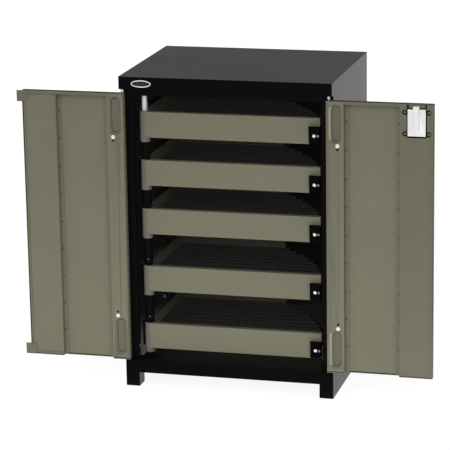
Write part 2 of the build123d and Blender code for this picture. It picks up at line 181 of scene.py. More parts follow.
powder, enter, leave = new_group(
    "powder_coat",
    [("Color", COLOR, (0.2, 0.2, 0.2, 1)), ("Tone", FLOAT, 0.06), ("Peel Scale", FLOAT, 700.0),
     ("Roughness", FLOAT, 0.5)],
    [("Color", COLOR), ("Roughness", FLOAT), ("Height", FLOAT)])
slow = add_noise(powder, DRIFT_SCALE, 3.0)
fine = add_noise(powder, GRAIN_SCALE, 2.0)
peel = add_noise(powder, enter.outputs["Peel Scale"], 2.0)
both = add_math(powder, "ADD", slow, times(powder, fine, GRAIN_SHARE))
drift = times(powder, add_math(powder, "SUBTRACT", both, DRIFT_MIDDLE), enter.outputs["Tone"])
gain = add_math(powder, "ADD", times(powder, drift, DRIFT_TO_COLOR), 1.0)
powder.links.new(scale_color(powder, enter.outputs["Color"], gain), leave.inputs["Color"])
rough = add_math(powder, "ADD", enter.outputs["Roughness"], times(powder, drift, DRIFT_TO_ROUGHNESS))
powder.links.new(rough, leave.inputs["Roughness"])
powder.links.new(peel, leave.inputs["Height"])
print("powder coat", len(powder.nodes), "nodes")

# %% [markdown]
# ## Rubbed edges
# Paint lies thinnest on a sharp edge and wears there first. Near an edge the
# Bevel node's normal turns away from the face's own. That difference, broken
# up by a noise, is the mask of the paler paint.

# %% Edge rub group
EDGE_GAIN = 6.0
PATCH_SCALE, PATCH_START, PATCH_GAIN = 60.0, 0.42, 4.0

rub, enter, leave = new_group(
    "edge_rub", [("Width", FLOAT, 0.0015), ("Amount", FLOAT, 0.5)], [("Mask", FLOAT)])
soft_edge = add_node(rub, "ShaderNodeBevel", {"Radius": enter.outputs["Width"]}, samples=4)
true_side = add_node(rub, "ShaderNodeNewGeometry")
facing = add_node(rub, "ShaderNodeVectorMath", {0: soft_edge.outputs[0], 1: true_side.outputs["Normal"]},
                  operation="DOT_PRODUCT")
turned_away = add_math(rub, "SUBTRACT", 1.0, facing.outputs["Value"])
near_edge = add_math(rub, "MULTIPLY", turned_away, EDGE_GAIN, clamp=True)
above_start = add_math(rub, "SUBTRACT", add_noise(rub, PATCH_SCALE, 4.0), PATCH_START)
patchy = add_math(rub, "MULTIPLY", above_start, PATCH_GAIN, clamp=True)
mask = times(rub, times(rub, near_edge, patchy), enter.outputs["Amount"])
rub.links.new(mask, leave.inputs["Mask"])
print("edge rub", len(rub.nodes), "nodes")

# %% [markdown]
# ## Ground and plated metal
# Grinding leaves fine lines all one way: a noise scaled far more across than
# along. A soft cloud adds the uneven tone of plating. Equal scales give the
# plain grain of a cast part.

# %% Ground metal group
LINE_SHARE, CLOUD_SHARE = 0.16, 0.10
CLOUD_SCALE = 25.0
LOWEST_TONE = 0.87
LINE_TO_ROUGHNESS = 0.08

ground, enter, leave = new_group(
    "ground_lines",
    [("Color", COLOR, (0.6, 0.6, 0.6, 1)), ("Along", FLOAT, 6.0), ("Across", FLOAT, 900.0),
     ("Roughness", FLOAT, 0.3)],
    [("Color", COLOR), ("Roughness", FLOAT), ("Height", FLOAT)])
place = add_node(ground, "ShaderNodeTexCoord")
across = enter.outputs["Across"]
scales = add_node(ground, "ShaderNodeCombineXYZ", {"X": across, "Y": across, "Z": enter.outputs["Along"]})
stretch = add_node(ground, "ShaderNodeVectorMath", {0: place.outputs["Object"], 1: scales.outputs[0]},
                   operation="MULTIPLY")
lines = add_noise(ground, 1.0, 3.0, stretch.outputs[0])
cloud = add_noise(ground, CLOUD_SCALE, 3.0)
shade = add_math(ground, "ADD", times(ground, lines, LINE_SHARE), times(ground, cloud, CLOUD_SHARE))
gain = add_math(ground, "ADD", shade, LOWEST_TONE)
ground.links.new(scale_color(ground, enter.outputs["Color"], gain), leave.inputs["Color"])
rough = add_math(ground, "ADD", enter.outputs["Roughness"], times(ground, lines, LINE_TO_ROUGHNESS))
ground.links.new(rough, leave.inputs["Roughness"])
ground.links.new(lines, leave.inputs["Height"])
print("groups", [g.name for g in bpy.data.node_groups])

# %% [markdown]
# ## How a finish is put together
# A painted finish is powder coat with a paler rubbed colour mixed in at the
# edges. Painted glow is a faint emission in the coat's own colour: painted
# light that lifts dark paint.

# %% Material builders
PAINT_BUMP = (0.12, 0.0002)
METAL_BUMP_HEIGHT = 0.0001


def start_material(name):
    """A new material, its node tree and its shader."""
    material = bpy.data.materials.new(name)
    material.use_nodes = True
    tree = material.node_tree
    return material, tree, tree.nodes["Principled BSDF"]


def place_group(tree, group, **values):
    """A node of this group with its input values."""
    return add_node(tree, "ShaderNodeGroup", values, node_tree=group)


def add_bump(tree, shader, height, strength, distance):
    """Tilt the shader's normal with a height."""
    bump = add_node(tree, "ShaderNodeBump", {"Strength": strength, "Distance": distance, "Height": height})
    tree.links.new(bump.outputs["Normal"], shader.inputs["Normal"])


def painted(name, color, rubbed, roughness=0.5, tone=0.10, rub_amount=0.35, specular=0.2, painted_glow=0.0):
    """Powder coat with paler rubbed edges."""
    material, tree, shader = start_material(name)
    coat = place_group(tree, powder, Color=(*color, 1), Tone=tone, Roughness=roughness)
    edge = place_group(tree, rub, Amount=rub_amount)
    colors = {"Factor": edge.outputs["Mask"], "A": coat.outputs["Color"], "B": (*rubbed, 1)}
    mix = add_node(tree, "ShaderNodeMix", colors, data_type="RGBA")
    tree.links.new(mix.outputs["Result"], shader.inputs["Base Color"])
    tree.links.new(coat.outputs["Roughness"], shader.inputs["Roughness"])
    shader.inputs["Specular IOR Level"].default_value = specular
    # painted glow: the coat's colour given off as a faint light
    if painted_glow:
        tree.links.new(coat.outputs["Color"], shader.inputs["Emission Color"])
        shader.inputs["Emission Strength"].default_value = painted_glow
    add_bump(tree, shader, coat.outputs["Height"], *PAINT_BUMP)
    return material


def bare_metal(name, color, roughness, metallic, along, across=None, bump=0.08):
    """Ground metal with fine lines; one scale alone gives a plain grain."""
    material, tree, shader = start_material(name)
    metal = place_group(tree, ground, Color=(*color, 1), Along=along, Across=across or along, Roughness=roughness)
    tree.links.new(metal.outputs["Color"], shader.inputs["Base Color"])
    tree.links.new(metal.outputs["Roughness"], shader.inputs["Roughness"])
    shader.inputs["Metallic"].default_value = metallic
    add_bump(tree, shader, metal.outputs["Height"], bump, METAL_BUMP_HEIGHT)
    return material


print("finish builders take", len(bpy.data.node_groups), "groups")

# %% [markdown]
# ## The cabinet's finishes
# The doors and trays are olive grey and the body is black. Paler and darker
# copies of the olive are painted highlight and painted shade; the spot welds'
# marks are darker olive too. The dark paints carry a faint painted glow.

# %% The cabinet's finishes
OLIVE = (0.180, 0.172, 0.118)
BLACK = (0.0012, 0.0012, 0.0012)
BLACK_RUBBED = (0.012, 0.012, 0.012)
DIVIDER_BLACK = (0.018, 0.018, 0.0175)
GAP_BLACK = (0.004, 0.004, 0.004)

olive_paint = painted("olive_powder_coat", OLIVE, (0.21, 0.20, 0.15), roughness=0.55, tone=0.06)
# painted highlight: a paler olive for the lit slope of the right door's recesses
painted_highlight_olive = painted("olive_painted_highlight", (0.36, 0.35, 0.245), (0.40, 0.39, 0.30),
                       roughness=0.42, specular=0.3)
# painted light: a paler olive that lifts the plate above the lock out of the recess's shade
painted_light_olive = painted("olive_painted_light", (0.205, 0.197, 0.145), (0.24, 0.23, 0.18),
                        roughness=0.48, specular=0.25)
# painted shade: a darker olive for recess floors, seams, the right door's turned-edge lines and the trays' rear faces
painted_shade_olive = painted("olive_painted_shade", (0.140, 0.135, 0.096), (0.16, 0.155, 0.11),
                       roughness=0.6, tone=0.12, rub_amount=0.1, specular=0.15)
# a darker olive: the spot welds' own marks, and painted shade in the recess bands and the left door's turned-edge
# lines
weld_mark_and_shade_olive = painted("olive_weld_marks_and_painted_shade", (0.088, 0.084, 0.060), (0.10, 0.10, 0.08),
                      roughness=0.7, tone=0.20, rub_amount=0.1, specular=0.1)
edge_paint = painted("olive_shaded_edge", (0.052, 0.050, 0.036), (0.06, 0.06, 0.045),
                     roughness=0.7, rub_amount=0.1, specular=0.1)
# painted shade: a darker olive for the trays' inner walls, with a faint painted glow
inner_olive = painted("olive_inside_tray_painted_shade", (0.156, 0.149, 0.116), (0.18, 0.175, 0.14),
                      roughness=0.55, tone=0.06, painted_glow=0.035)
# painted shade: a darker, browner olive stands for the shade on the round barrels
barrel_paint = painted("olive_on_barrel", (0.165, 0.154, 0.124), (0.18, 0.17, 0.14), tone=0.08)
# the black body paint carries a painted glow that lifts it as light would
black_paint = painted("black_powder_coat", BLACK, BLACK_RUBBED,
                      roughness=0.30, rub_amount=0.3, specular=0.06, painted_glow=1.7)
# a stronger painted glow lifts the black inside the cabinet out of its shade
inner_black = painted("black_powder_coat_inside", BLACK, BLACK_RUBBED,
                      roughness=0.45, rub_amount=0.2, specular=0.05, painted_glow=3.2)
# the dividers' black carries a painted glow as well
divider_paint = painted("divider_coat", DIVIDER_BLACK, (0.05, 0.05, 0.05),
                        roughness=0.6, rub_amount=0.3, painted_glow=0.38)
divider_end_paint = painted("divider_end_coat", (0.115, 0.115, 0.11), (0.16, 0.16, 0.16),
                            roughness=0.55, rub_amount=0.2)
thumb_plastic = painted("black_thumb_plastic", (0.0020, 0.0020, 0.0020), (0.010, 0.010, 0.010),
                        rub_amount=0.2, specular=0.05)
badge_face = painted("badge_face", (0.036, 0.031, 0.027), (0.05, 0.05, 0.05),
                     roughness=0.40, tone=0.25)
# painted shade: flat black for gaps, holes and hollows
shadow_gap = painted("painted_shade_black", GAP_BLACK, GAP_BLACK, roughness=0.9, tone=0.06, rub_amount=0.0,
                     specular=0.0)

pole_steel = bare_metal("ground_pole_steel", (0.95, 0.97, 0.98), 0.30, metallic=0.35, along=6.0, across=900.0)
zinc_plate = bare_metal("zinc_plated_steel", (0.315, 0.315, 0.312), 0.40, metallic=0.35, along=40.0)
lock_zinc = bare_metal("bright_lock_zinc", (1.0, 1.0, 1.0), 0.45, metallic=0.04, along=60.0)
screw_steel = bare_metal("screw_steel", (0.95, 0.95, 0.93), 0.35, metallic=0.15, along=200.0)
dull_zinc = bare_metal("dull_zinc_steel", (0.50, 0.50, 0.50), 0.45, metallic=0.3, along=90.0)
dull_steel = bare_metal("dull_screw_steel", (0.30, 0.30, 0.29), 0.45, metallic=0.4, along=90.0)
# blued steel for the set screws, and painted shade for the pivots' groove rings
blued_steel_and_shade = bare_metal("blued_set_screw_and_painted_shade", (0.10, 0.10, 0.10), 0.45, metallic=0.3, along=90.0)
chrome = bare_metal("polished_chrome", (0.82, 0.82, 0.83), 0.14, metallic=0.75, along=30.0, bump=0.02)
print("materials", len(bpy.data.materials))

# %% [markdown]
# ## Which node gets which finish
# The record's material slots say what each node is made of.

# %% Hand out the finishes
SLOT_FINISH = {
    "front_paint": olive_paint, "body_paint": black_paint, "divider_paint": divider_paint,
    "bright_steel": pole_steel, "zinc_plate": zinc_plate, "lock_zinc": lock_zinc,
    "black_plastic": thumb_plastic, "chrome": chrome,
}
node_slot = {row["node"]: row["material_slot"] for row in frame["record"]["subparts"]}
for name, node in frame["nodes"].items():
    node.data.materials.clear()
    node.data.materials.append(SLOT_FINISH[node_slot[name]])
print("finished nodes", len(frame["nodes"]))

# %% [markdown]
# ## Rounded copies of the sheet-metal pieces
# A folded sheet has no perfectly sharp edge: its small radius catches the
# light. Each CAD node is copied, its flat facets are merged into whole faces,
# and a Bevel modifier rounds the corners. The pole is round already, and the
# door pins are turned further down.

# %% Round the edges
CORNER_RADIUS = 0.0006
CORNER_STEPS = 2
CORNER_ANGLE = math.radians(35.0)
SAME_POINT = 1e-6
FLAT_WITHIN = math.radians(1.0)


def rounded_copy(name):
    """Copy a CAD node, round its corners and let the copy stand for it."""
    source = frame["nodes"][name]
    mesh = source.data.copy()
    form = bmesh.new()
    form.from_mesh(mesh)
    bmesh.ops.remove_doubles(form, verts=form.verts, dist=SAME_POINT)
    bmesh.ops.dissolve_limit(form, angle_limit=FLAT_WITHIN, verts=form.verts, edges=form.edges)
    form.to_mesh(mesh)
    form.free()
    copy = add_object(name + "_rounded", mesh)
    bevel = copy.modifiers.new("corner_radius", "BEVEL")
    bevel.width = CORNER_RADIUS
    bevel.segments = CORNER_STEPS
    bevel.limit_method = "ANGLE"
    bevel.angle_limit = CORNER_ANGLE
    bevel.harden_normals = True
    for face in mesh.polygons:
        face.use_smooth = True
    mesh.set_sharp_from_angle(angle=CORNER_ANGLE)
    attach(copy, source["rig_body"])
    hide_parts(name)
    return copy


rounded = {name: rounded_copy(name) for name in frame["nodes"] if name not in ("hinge_pole", "door_pins")}
print("rounded", len(rounded))

# %% [markdown]
# ## Measures used more than once
# The trays' details are placed from the pole's axis. The doors are mirror
# images: "out" is the way from a door's hinge to its free edge, -X or +X.

# %% Measures used more than once
DOORS = (("left", -1), ("right", 1))
HINGE_CHANNEL = {"left": "left_door_hinge_channel", "right": "right_door_hinge_channel"}
FREE_CHANNEL = {"left": "left_door_free_channel", "right": "right_door_lock_channel"}
RECESS_FROM_HINGE = 0.032
RECESS_HEIGHTS = (0.086, 0.894)

pole_low, pole_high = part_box("hinge_pole")
pole_x = (pole_low.x + pole_high.x) / 2
pole_y = (pole_low.y + pole_high.y) / 2


def hinge_edge(side, node):
    """X of a door node's edge on the hinge side."""
    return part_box(node)[1].x if side == "left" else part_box(node)[0].x


def free_edge(side, node):
    """X of a door node's edge on the free side."""
    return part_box(node)[0].x if side == "left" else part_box(node)[1].x


print("pole axis", round(pole_x * 1000, 1), round(pole_y * 1000, 1), "mm")

# %% [markdown]
# ## Faces with a finish of their own
# Some folded pieces aren't one even colour: the dividers' ends are paler, and
# the stop tab and the liner are black. Other faces carry painted light: painted
# shade on recess floors, the left wall's end, the trays' walls and rear faces,
# the skin's top and foot and the lock bracket, a faint painted glow inside the
# trays and side sheets, and a painted highlight on one slope of the right
# door's recesses. A second material on a few faces keeps the sheet in one piece.

# %% Finish a few faces
ALONG = 0.9                   # a face looks along an axis when its normal has this much of it
STRAIGHT_ON = 0.97
UPRIGHT = 0.5                 # a side rather than a top
SLOPE = (0.15, -0.02)         # least X and most Y of a recess slope's normal
FACE_DEPTH = 0.001
DIVIDER_END_X = 0.36          # from the pole's axis
STOP_TAB_X = -0.0309
STOP_TAB_Y = (0.38, 0.43)
WALL_END = (-0.003, 0.016)
REAR_WALL_Y = 0.4
LEVER_TAB_Y = -0.012
LINER_FACE_Z = (0.0035, 0.0060)   # from the tray's underside
RECESS_RIM, RECESS_SHALLOW, RECESS_DEEPEST = 0.0045, 0.002, 0.0125
STRIPE_HALF = 0.0585
STRIPE_RIM, STRIPE_INNER = 0.002, 0.004
TOP_FLANGE = 0.003
FOOT_LIP = 0.0021
WIDE_CHANNEL_X = 0.60
BOSS_FACE = 0.0005


def finish_faces(piece, finish, chosen):
    """Give finish to the faces for which chosen(centre, normal) is true."""
    piece.data.materials.append(finish)
    slot_number = len(piece.data.materials) - 1
    count = 0
    for face in piece.data.polygons:
        if chosen(face.center, face.normal):
            face.material_index = slot_number
            count += 1
    return count


def cut_across(piece, heights):
    """Divide the faces along level lines, so that a finish can end there."""
    form = bmesh.new()
    form.from_mesh(piece.data)
    for height in heights:
        whole = form.verts[:] + form.edges[:] + form.faces[:]
        bmesh.ops.bisect_plane(form, geom=whole, plane_co=(0, 0, height), plane_no=(0, 0, 1))
    form.to_mesh(piece.data)
    form.free()


marked = 0
for tray in TRAYS:
    pan, ribs = rounded[tray + "_tray_pan"], rounded[tray + "_tray_ribs"]
    tray_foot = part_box(tray + "_tray_pan")[0].z
    wall_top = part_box(tray + "_tray_front")[1].z

    def is_black(centre, normal):
        """True for the stop tab and for the left wall's end beside the pole."""
        rear_part = pole_y + STOP_TAB_Y[0] < centre.y < pole_y + STOP_TAB_Y[1]
        on_tab = centre.x < pole_x + STOP_TAB_X and normal.z < UPRIGHT and rear_part
        # the left wall's end beside the pole is painted black: painted shade
        on_end = normal.y < -ALONG and centre.x < pole_x + WALL_END[0] and centre.y < pole_y + WALL_END[1]
        return on_tab or on_end

    def is_wall_inside(centre, normal):
        """True for the inner faces of the left and the rear wall."""
        left_wall = normal.x > ALONG and centre.x < pole_x - FACE_DEPTH
        rear_wall = normal.y < -ALONG and centre.y > pole_y + REAR_WALL_Y
        between = tray_foot + LINER_FACE_Z[0] < centre.z < wall_top - FACE_DEPTH
        return between and (left_wall or rear_wall)

    marked += finish_faces(pan, black_paint, is_black)
    # painted shade with a faint painted glow on the inner faces of the left and rear walls
    marked += finish_faces(pan, inner_olive, is_wall_inside)
    # painted shade on the rear wall's outer face
    marked += finish_faces(pan, painted_shade_olive,
                           lambda centre, normal: normal.y > ALONG and centre.y > pole_y + REAR_WALL_Y
                           and centre.x > pole_x + STOP_TAB_X)
    marked += finish_faces(ribs, divider_end_paint,
                           lambda centre, normal: normal.x > ALONG and centre.x > pole_x + DIVIDER_END_X)
    marked += finish_faces(ribs, black_paint,
                           lambda centre, normal: normal.z > ALONG and centre.z < tray_foot + LINER_FACE_Z[1])
    marked += finish_faces(rounded[tray + "_latch_lever"], thumb_plastic,
                           lambda centre, normal: centre.y < pole_y + LEVER_TAB_Y)
    # the barrels take the painted-shade olive
    marked += finish_faces(rounded[tray + "_tray_barrel"], barrel_paint, lambda centre, normal: True)

for side, out in DOORS:
    channel, skin = rounded[HINGE_CHANNEL[side]], rounded[side + "_door_skin"]
    low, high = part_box(HINGE_CHANNEL[side])
    skin_low, skin_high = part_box(side + "_door_skin")

    def is_recess_floor(centre, normal):
        """True for the floor of a pressed recess."""
        inside = low.x + RECESS_RIM < centre.x < high.x - RECESS_RIM
        sunk = low.y + RECESS_SHALLOW < centre.y < low.y + RECESS_DEEPEST
        return inside and sunk and normal.y < -STRAIGHT_ON

    # painted shade on the floors of the pressed recesses
    marked += finish_faces(channel, painted_shade_olive, is_recess_floor)
    if side == "right":
        levels = [skin_low.z + height for height in RECESS_HEIGHTS]
        recess_x = skin_low.x + RECESS_FROM_HINGE
        cut_across(channel, [level + way * STRIPE_HALF for level in levels for way in (-1, 1)])

        def is_highlight_slope(centre, normal):
            """True for the slope nearest the hinge, between the level cuts."""
            sloping = normal.x > SLOPE[0] and normal.y < SLOPE[1]
            return (sloping and low.x + STRIPE_RIM < centre.x < recess_x - STRIPE_INNER
                    and min(abs(centre.z - level) for level in levels) < STRIPE_HALF)

        # painted highlight on the slope nearest the hinge
        marked += finish_faces(channel, painted_highlight_olive, is_highlight_slope)
    # painted shade along the skin's top flange
    marked += finish_faces(skin, edge_paint,
                           lambda centre, normal: normal.z > ALONG and centre.z > skin_high.z - TOP_FLANGE)
    # painted shade on the foot of the wide channels
    marked += finish_faces(skin, shadow_gap,
                           lambda centre, normal: normal.y < -ALONG and centre.z < skin_low.z + FOOT_LIP
                           and abs(centre.x) > WIDE_CHANNEL_X)
    # painted glow on the side sheets' inner faces
    marked += finish_faces(rounded[side + "_side_panel"], inner_black,
                           lambda centre, normal: -normal.x * out > ALONG)
# the lock bracket takes black painted shade on all but the bosses' front faces
boss_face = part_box("lock_bracket")[0].y + BOSS_FACE
marked += finish_faces(rounded["lock_bracket"], shadow_gap,
                       lambda centre, normal: not (normal.y < -ALONG and centre.y < boss_face))
print("faces with their own finish", marked)

# %% [markdown]
# ## Small turned pieces
# Screws, rivets and weld marks are short profiles turned about an axis and
# stood on a surface. Each starts a little under it, so that no gap shows.

# %% Turned pieces
ON_AXIS = 1e-7
SUNK = -0.0002
TOWARDS_FRONT = (0, -1, 0)
SMOOTH_WITHIN = math.radians(40.0)
DOME = ((1, 0.35), (0.86, 0.75), (0.5, 1), (0.34, 1), (0.30, 0.45), (0, 0.45))   # shares of radius and height


def ring_at(form, long_radius, tall_radius, height, segments):
    """A round or oval ring of points about +Z."""
    angles = [2 * math.pi * step / segments for step in range(segments)]
    return [form.verts.new((long_radius * math.cos(a), tall_radius * math.sin(a), height)) for a in angles]


def join_rings(form, low, high):
    """Faces between two rings; a ring of one point is the tip of a cone."""
    segments = max(len(low), len(high))
    for step in range(segments):
        after = (step + 1) % segments
        if len(low) == 1:
            form.faces.new((low[0], high[step], high[after]))
        elif len(high) == 1:
            form.faces.new((low[step], low[after], high[0]))
        else:
            form.faces.new((low[step], low[after], high[after], high[step]))


def turned(profile, segments=24):
    """Mesh of a profile [(radius, height), ...] spun about +Z."""
    form = bmesh.new()
    rings = []
    for radius, height in profile:
        if radius < ON_AXIS:
            rings.append([form.verts.new((0, 0, height))])
        else:
            rings.append(ring_at(form, radius, radius, height, segments))
    for low, high in zip(rings, rings[1:]):
        join_rings(form, low, high)
    bmesh.ops.recalc_face_normals(form, faces=form.faces)
    return form


def stand_on(place, normal):
    """Matrix that stands a piece made along +Z on a surface."""
    return Matrix.Translation(Vector(place)) @ Vector(normal).to_track_quat("Z", "Y").to_matrix().to_4x4()


def add_piece(name, forms, finish, body):
    """Join bmeshes, each with its matrix, into one object that rides on a body."""
    whole = bmesh.new()
    for form, matrix in forms:
        spare = bpy.data.meshes.new("spare")
        form.to_mesh(spare)
        spare.transform(matrix)
        whole.from_mesh(spare)
        bpy.data.meshes.remove(spare)
    mesh = bpy.data.meshes.new(name)
    whole.to_mesh(mesh)
    whole.free()
    for face in mesh.polygons:
        face.use_smooth = True
    mesh.set_sharp_from_angle(angle=SMOOTH_WITHIN)
    mesh.materials.append(finish)
    piece = add_object(name, mesh)
    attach(piece, body)
    return piece


def dome_head(radius, height):
    """A domed screw head with a small round dimple."""
    return turned([(0, SUNK), (radius, SUNK)] + [(radius * wide, height * high) for wide, high in DOME])


print("a screw head has", len(dome_head(0.0072, 0.0028).faces), "faces")

# %% [markdown]
# ## Door fasteners
# Each hinge-side channel has two bright screws near its recesses, with a small
# hole beside each, drawn as a flat disc of painted shade.

# %% Door fasteners
HINGE_TO_SCREW = 0.040
SCREW_HEIGHTS = (0.163, 0.817)
SCREW_RADIUS, SCREW_RISE = 0.0072, 0.0028
HOLE_PROFILE = [(0.0040, 0.0), (0.0040, 0.0002), (0, 0.0002)]
HOLE_OFFSETS = (0.0145, -0.0135)

for side, out in DOORS:
    skin = side + "_door_skin"
    screw_x = hinge_edge(side, skin) + out * HINGE_TO_SCREW
    channel_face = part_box(HINGE_CHANNEL[side])[0].y
    screws, holes = [], []
    for height, offset in zip(SCREW_HEIGHTS, HOLE_OFFSETS):
        spot = Vector((screw_x, channel_face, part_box(skin)[0].z + height))
        screws.append((dome_head(SCREW_RADIUS, SCREW_RISE), stand_on(spot, TOWARDS_FRONT)))
        hole_spot = spot + Vector((0, -0.0001, offset))
        holes.append((turned(HOLE_PROFILE), stand_on(hole_spot, TOWARDS_FRONT)))
    add_piece(side + "_door_screws", screws, screw_steel, side + "_door")
    add_piece(side + "_door_screw_holes", holes, shadow_gap, side + "_door")
print("door screws", len(DOORS) * len(SCREW_HEIGHTS))

# %% [markdown]
# ## Spot welds
# The channels are welded to the skin through a narrow flange. A welder works
# down it at an even pitch, and each weld leaves a shallow dull crater.

# %% Spot welds
SKIN_SHEET = 0.0020
FLANGE_SHEET = 0.0015
WELD_PROFILE = [(0.0040, -0.0001), (0.0036, 0.0004), (0.0028, 0.0004), (0.0020, 0.00012), (0, 0.00008)]
WELD_FROM_FLANGE = 0.0095
WELD_TOP = 0.900
WELD_PITCH = 0.1008
WELD_COUNT = 9


def skin_face(side):
    """Y of the skin's inner face on an open door."""
    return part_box(side + "_door_skin")[1].y - SKIN_SHEET


def flange_edges(side, out):
    """X of the two weld flanges' free edges, hinge side first, and the way to their channels."""
    return (free_edge(side, HINGE_CHANNEL[side]), -out), (hinge_edge(side, FREE_CHANNEL[side]), out)


for side, out in DOORS:
    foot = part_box(side + "_door_skin")[0].z
    marks = []
    for edge_x, way in flange_edges(side, out):
        for step in range(WELD_COUNT):
            spot = (edge_x + way * WELD_FROM_FLANGE, skin_face(side) - FLANGE_SHEET,
                    foot + WELD_TOP - step * WELD_PITCH)
            marks.append((turned(WELD_PROFILE, 14), stand_on(spot, TOWARDS_FRONT)))
    add_piece(side + "_door_welds", marks, weld_mark_and_shade_olive, side + "_door")
print("welds", WELD_COUNT * 2 * len(DOORS))

# %% [markdown]
# ## Seams on the doors
# The edge of each weld flange shows as a thin dark line of painted shade. It
# is a flat strip along each flange and along the foot between them.

# %% Door seams
FLAT = Matrix.Identity(4)
SEAM_WIDE = 0.0014
SEAM_TOP_GAP, SEAM_FOOT_GAP = 0.0125, 0.003
FOOT_LINE = 0.0022
STRIP_SUNK = 0.0001
CHAMFER = 0.6                 # of a strip's thickness


def strip(x_from, x_to, z0, z1, y, thickness=0.0003):
    """A thin flat strip with chamfered edges on a face that looks towards -Y."""
    form = bmesh.new()
    x0, x1 = sorted((x_from, x_to))
    rings = []
    for grow, depth in ((0, -thickness), (thickness * CHAMFER, STRIP_SUNK)):
        corners = ((x0 - grow, z0 - grow), (x1 + grow, z0 - grow), (x1 + grow, z1 + grow), (x0 - grow, z1 + grow))
        rings.append([form.verts.new((x, y + depth, z)) for x, z in corners])
    form.faces.new(rings[0])
    join_rings(form, *rings)
    bmesh.ops.recalc_face_normals(form, faces=form.faces)
    return form


def add_strips(name, strips, finish, body):
    """One piece made of strips that are already in place."""
    return add_piece(name, [(form, FLAT) for form in strips], finish, body)


for side, out in DOORS:
    low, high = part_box(side + "_door_skin")
    y = skin_face(side)
    edges = flange_edges(side, out)
    seams = [strip(edge_x, edge_x - way * SEAM_WIDE, low.z + SEAM_FOOT_GAP, high.z - SEAM_TOP_GAP, y)
             for edge_x, way in edges]
    foot_line = strip(edges[0][0], edges[1][0], low.z + FOOT_LIP, low.z + FOOT_LIP + FOOT_LINE, y)
    # painted shade along the flanges, and black painted shade along the foot
    add_strips(side + "_door_seams", seams, painted_shade_olive, side + "_door")
    add_strips(side + "_door_foot_line", [foot_line], shadow_gap, side + "_door")
print("door seams", round(SEAM_WIDE * 1000, 2), "mm wide")

# %% [markdown]
# ## Turned edge of the skin
# The skin's edges are turned in over the wide channels. Where the turned edge
# ends, a faint line of painted shade shows on three sides. The bend itself, at
# the outline and along the foot, looks away from the light, and a strip of
# painted shade makes it darker.

# %% Turned edge lines
TURNED_EDGE = 0.0105
EDGE_LINE = 0.0018
LINE_RISE, FOOT_RISE = 0.00015, 0.00025
CHANNEL_FLANGE = 0.0150
BRACKET_GAP = 0.002
BEND_SHADE = {"left": (0.0012, 0.0050), "right": (0.0004, 0.0016)}
BEND_END_GAP = 0.034
FOOT_SHADE = (0.0002, 0.0042)
FOOT_END_GAP = 0.002
HINGE_FOOT_SHADE = (0.0004, 0.0032)
HINGE_FOOT_GAP = 0.001
# painted shade for the lines where the turned edge ends
LINE_PAINT = {"left": weld_mark_and_shade_olive, "right": painted_shade_olive}

for side, out in DOORS:
    skin, hinge_channel = side + "_door_skin", HINGE_CHANNEL[side]
    low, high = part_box(skin)
    y = low.y
    outline = free_edge(side, skin)
    edge = outline - out * TURNED_EDGE
    face_end = hinge_edge(side, FREE_CHANNEL[side]) + out * CHANNEL_FLANGE
    head_end = face_end if side == "left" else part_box("lock_bracket")[1].x + BRACKET_GAP
    foot, head = low.z + TURNED_EDGE, high.z - TURNED_EDGE
    lines = [strip(edge, edge - out * EDGE_LINE, foot, head, y, LINE_RISE),
             strip(edge, head_end, head - EDGE_LINE, head, y, LINE_RISE),
             strip(edge, face_end, foot, foot + EDGE_LINE, y, LINE_RISE)]
    add_strips(side + "_turned_edge", lines, LINE_PAINT[side], side + "_door")

    near, far = BEND_SHADE[side]
    hinge_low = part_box(hinge_channel)[0]
    hinge_foot = [hinge_low.z + rise for rise in HINGE_FOOT_SHADE]
    bends = [strip(outline - out * near, outline - out * far, low.z + BEND_END_GAP, high.z - BEND_END_GAP,
                   y, LINE_RISE),
             strip(outline - out * FOOT_END_GAP, face_end, low.z + FOOT_SHADE[0], low.z + FOOT_SHADE[1],
                   y, FOOT_RISE),
             strip(free_edge(side, hinge_channel) - out * CHANNEL_FLANGE,
                   hinge_edge(side, hinge_channel) + out * HINGE_FOOT_GAP, *hinge_foot, hinge_low.y, FOOT_RISE)]
    add_strips(side + "_bend_lines", bends, edge_paint, side + "_door")
print("turned edges", round(TURNED_EDGE * 1000, 2), "mm wide")

# %% [markdown]
# ## Line round each recess
# A narrow dark band of painted shade lies in the tight corner round a recess's
# floor, wider at the round ends and, by a small shift, on one side.

# %% Recess lines
RECESS_FLOOR_WIDE, RECESS_FLOOR_TALL = 0.0309, 0.1259
RECESS_DEEP = 0.009
BAND_SIDE, BAND_END, BAND_SHIFT = 0.0018, 0.0036, 0.0014
BAND_STAND_OFF = 0.00015


def recess_band(steps=16):
    """A flat band inside a round-ended outline, lying in the XY plane."""
    form = bmesh.new()
    outer_radius = RECESS_FLOOR_WIDE / 2
    inner_radius = outer_radius - BAND_SIDE
    outer_rise = RECESS_FLOOR_TALL / 2 - outer_radius
    inner_rise = RECESS_FLOOR_TALL / 2 - BAND_END - inner_radius
    outer, inner = [], []
    for end, start in ((1, 0.0), (-1, math.pi)):
        for step in range(steps + 1):
            angle = start + math.pi * step / steps
            for ring, radius, rise, shift in ((outer, outer_radius, outer_rise, 0.0),
                                              (inner, inner_radius, inner_rise, BAND_SHIFT)):
                ring.append(form.verts.new((radius * math.cos(angle) + shift,
                                            radius * math.sin(angle) + end * rise, 0.0)))
    join_rings(form, outer, inner)
    bmesh.ops.recalc_face_normals(form, faces=form.faces)
    return form


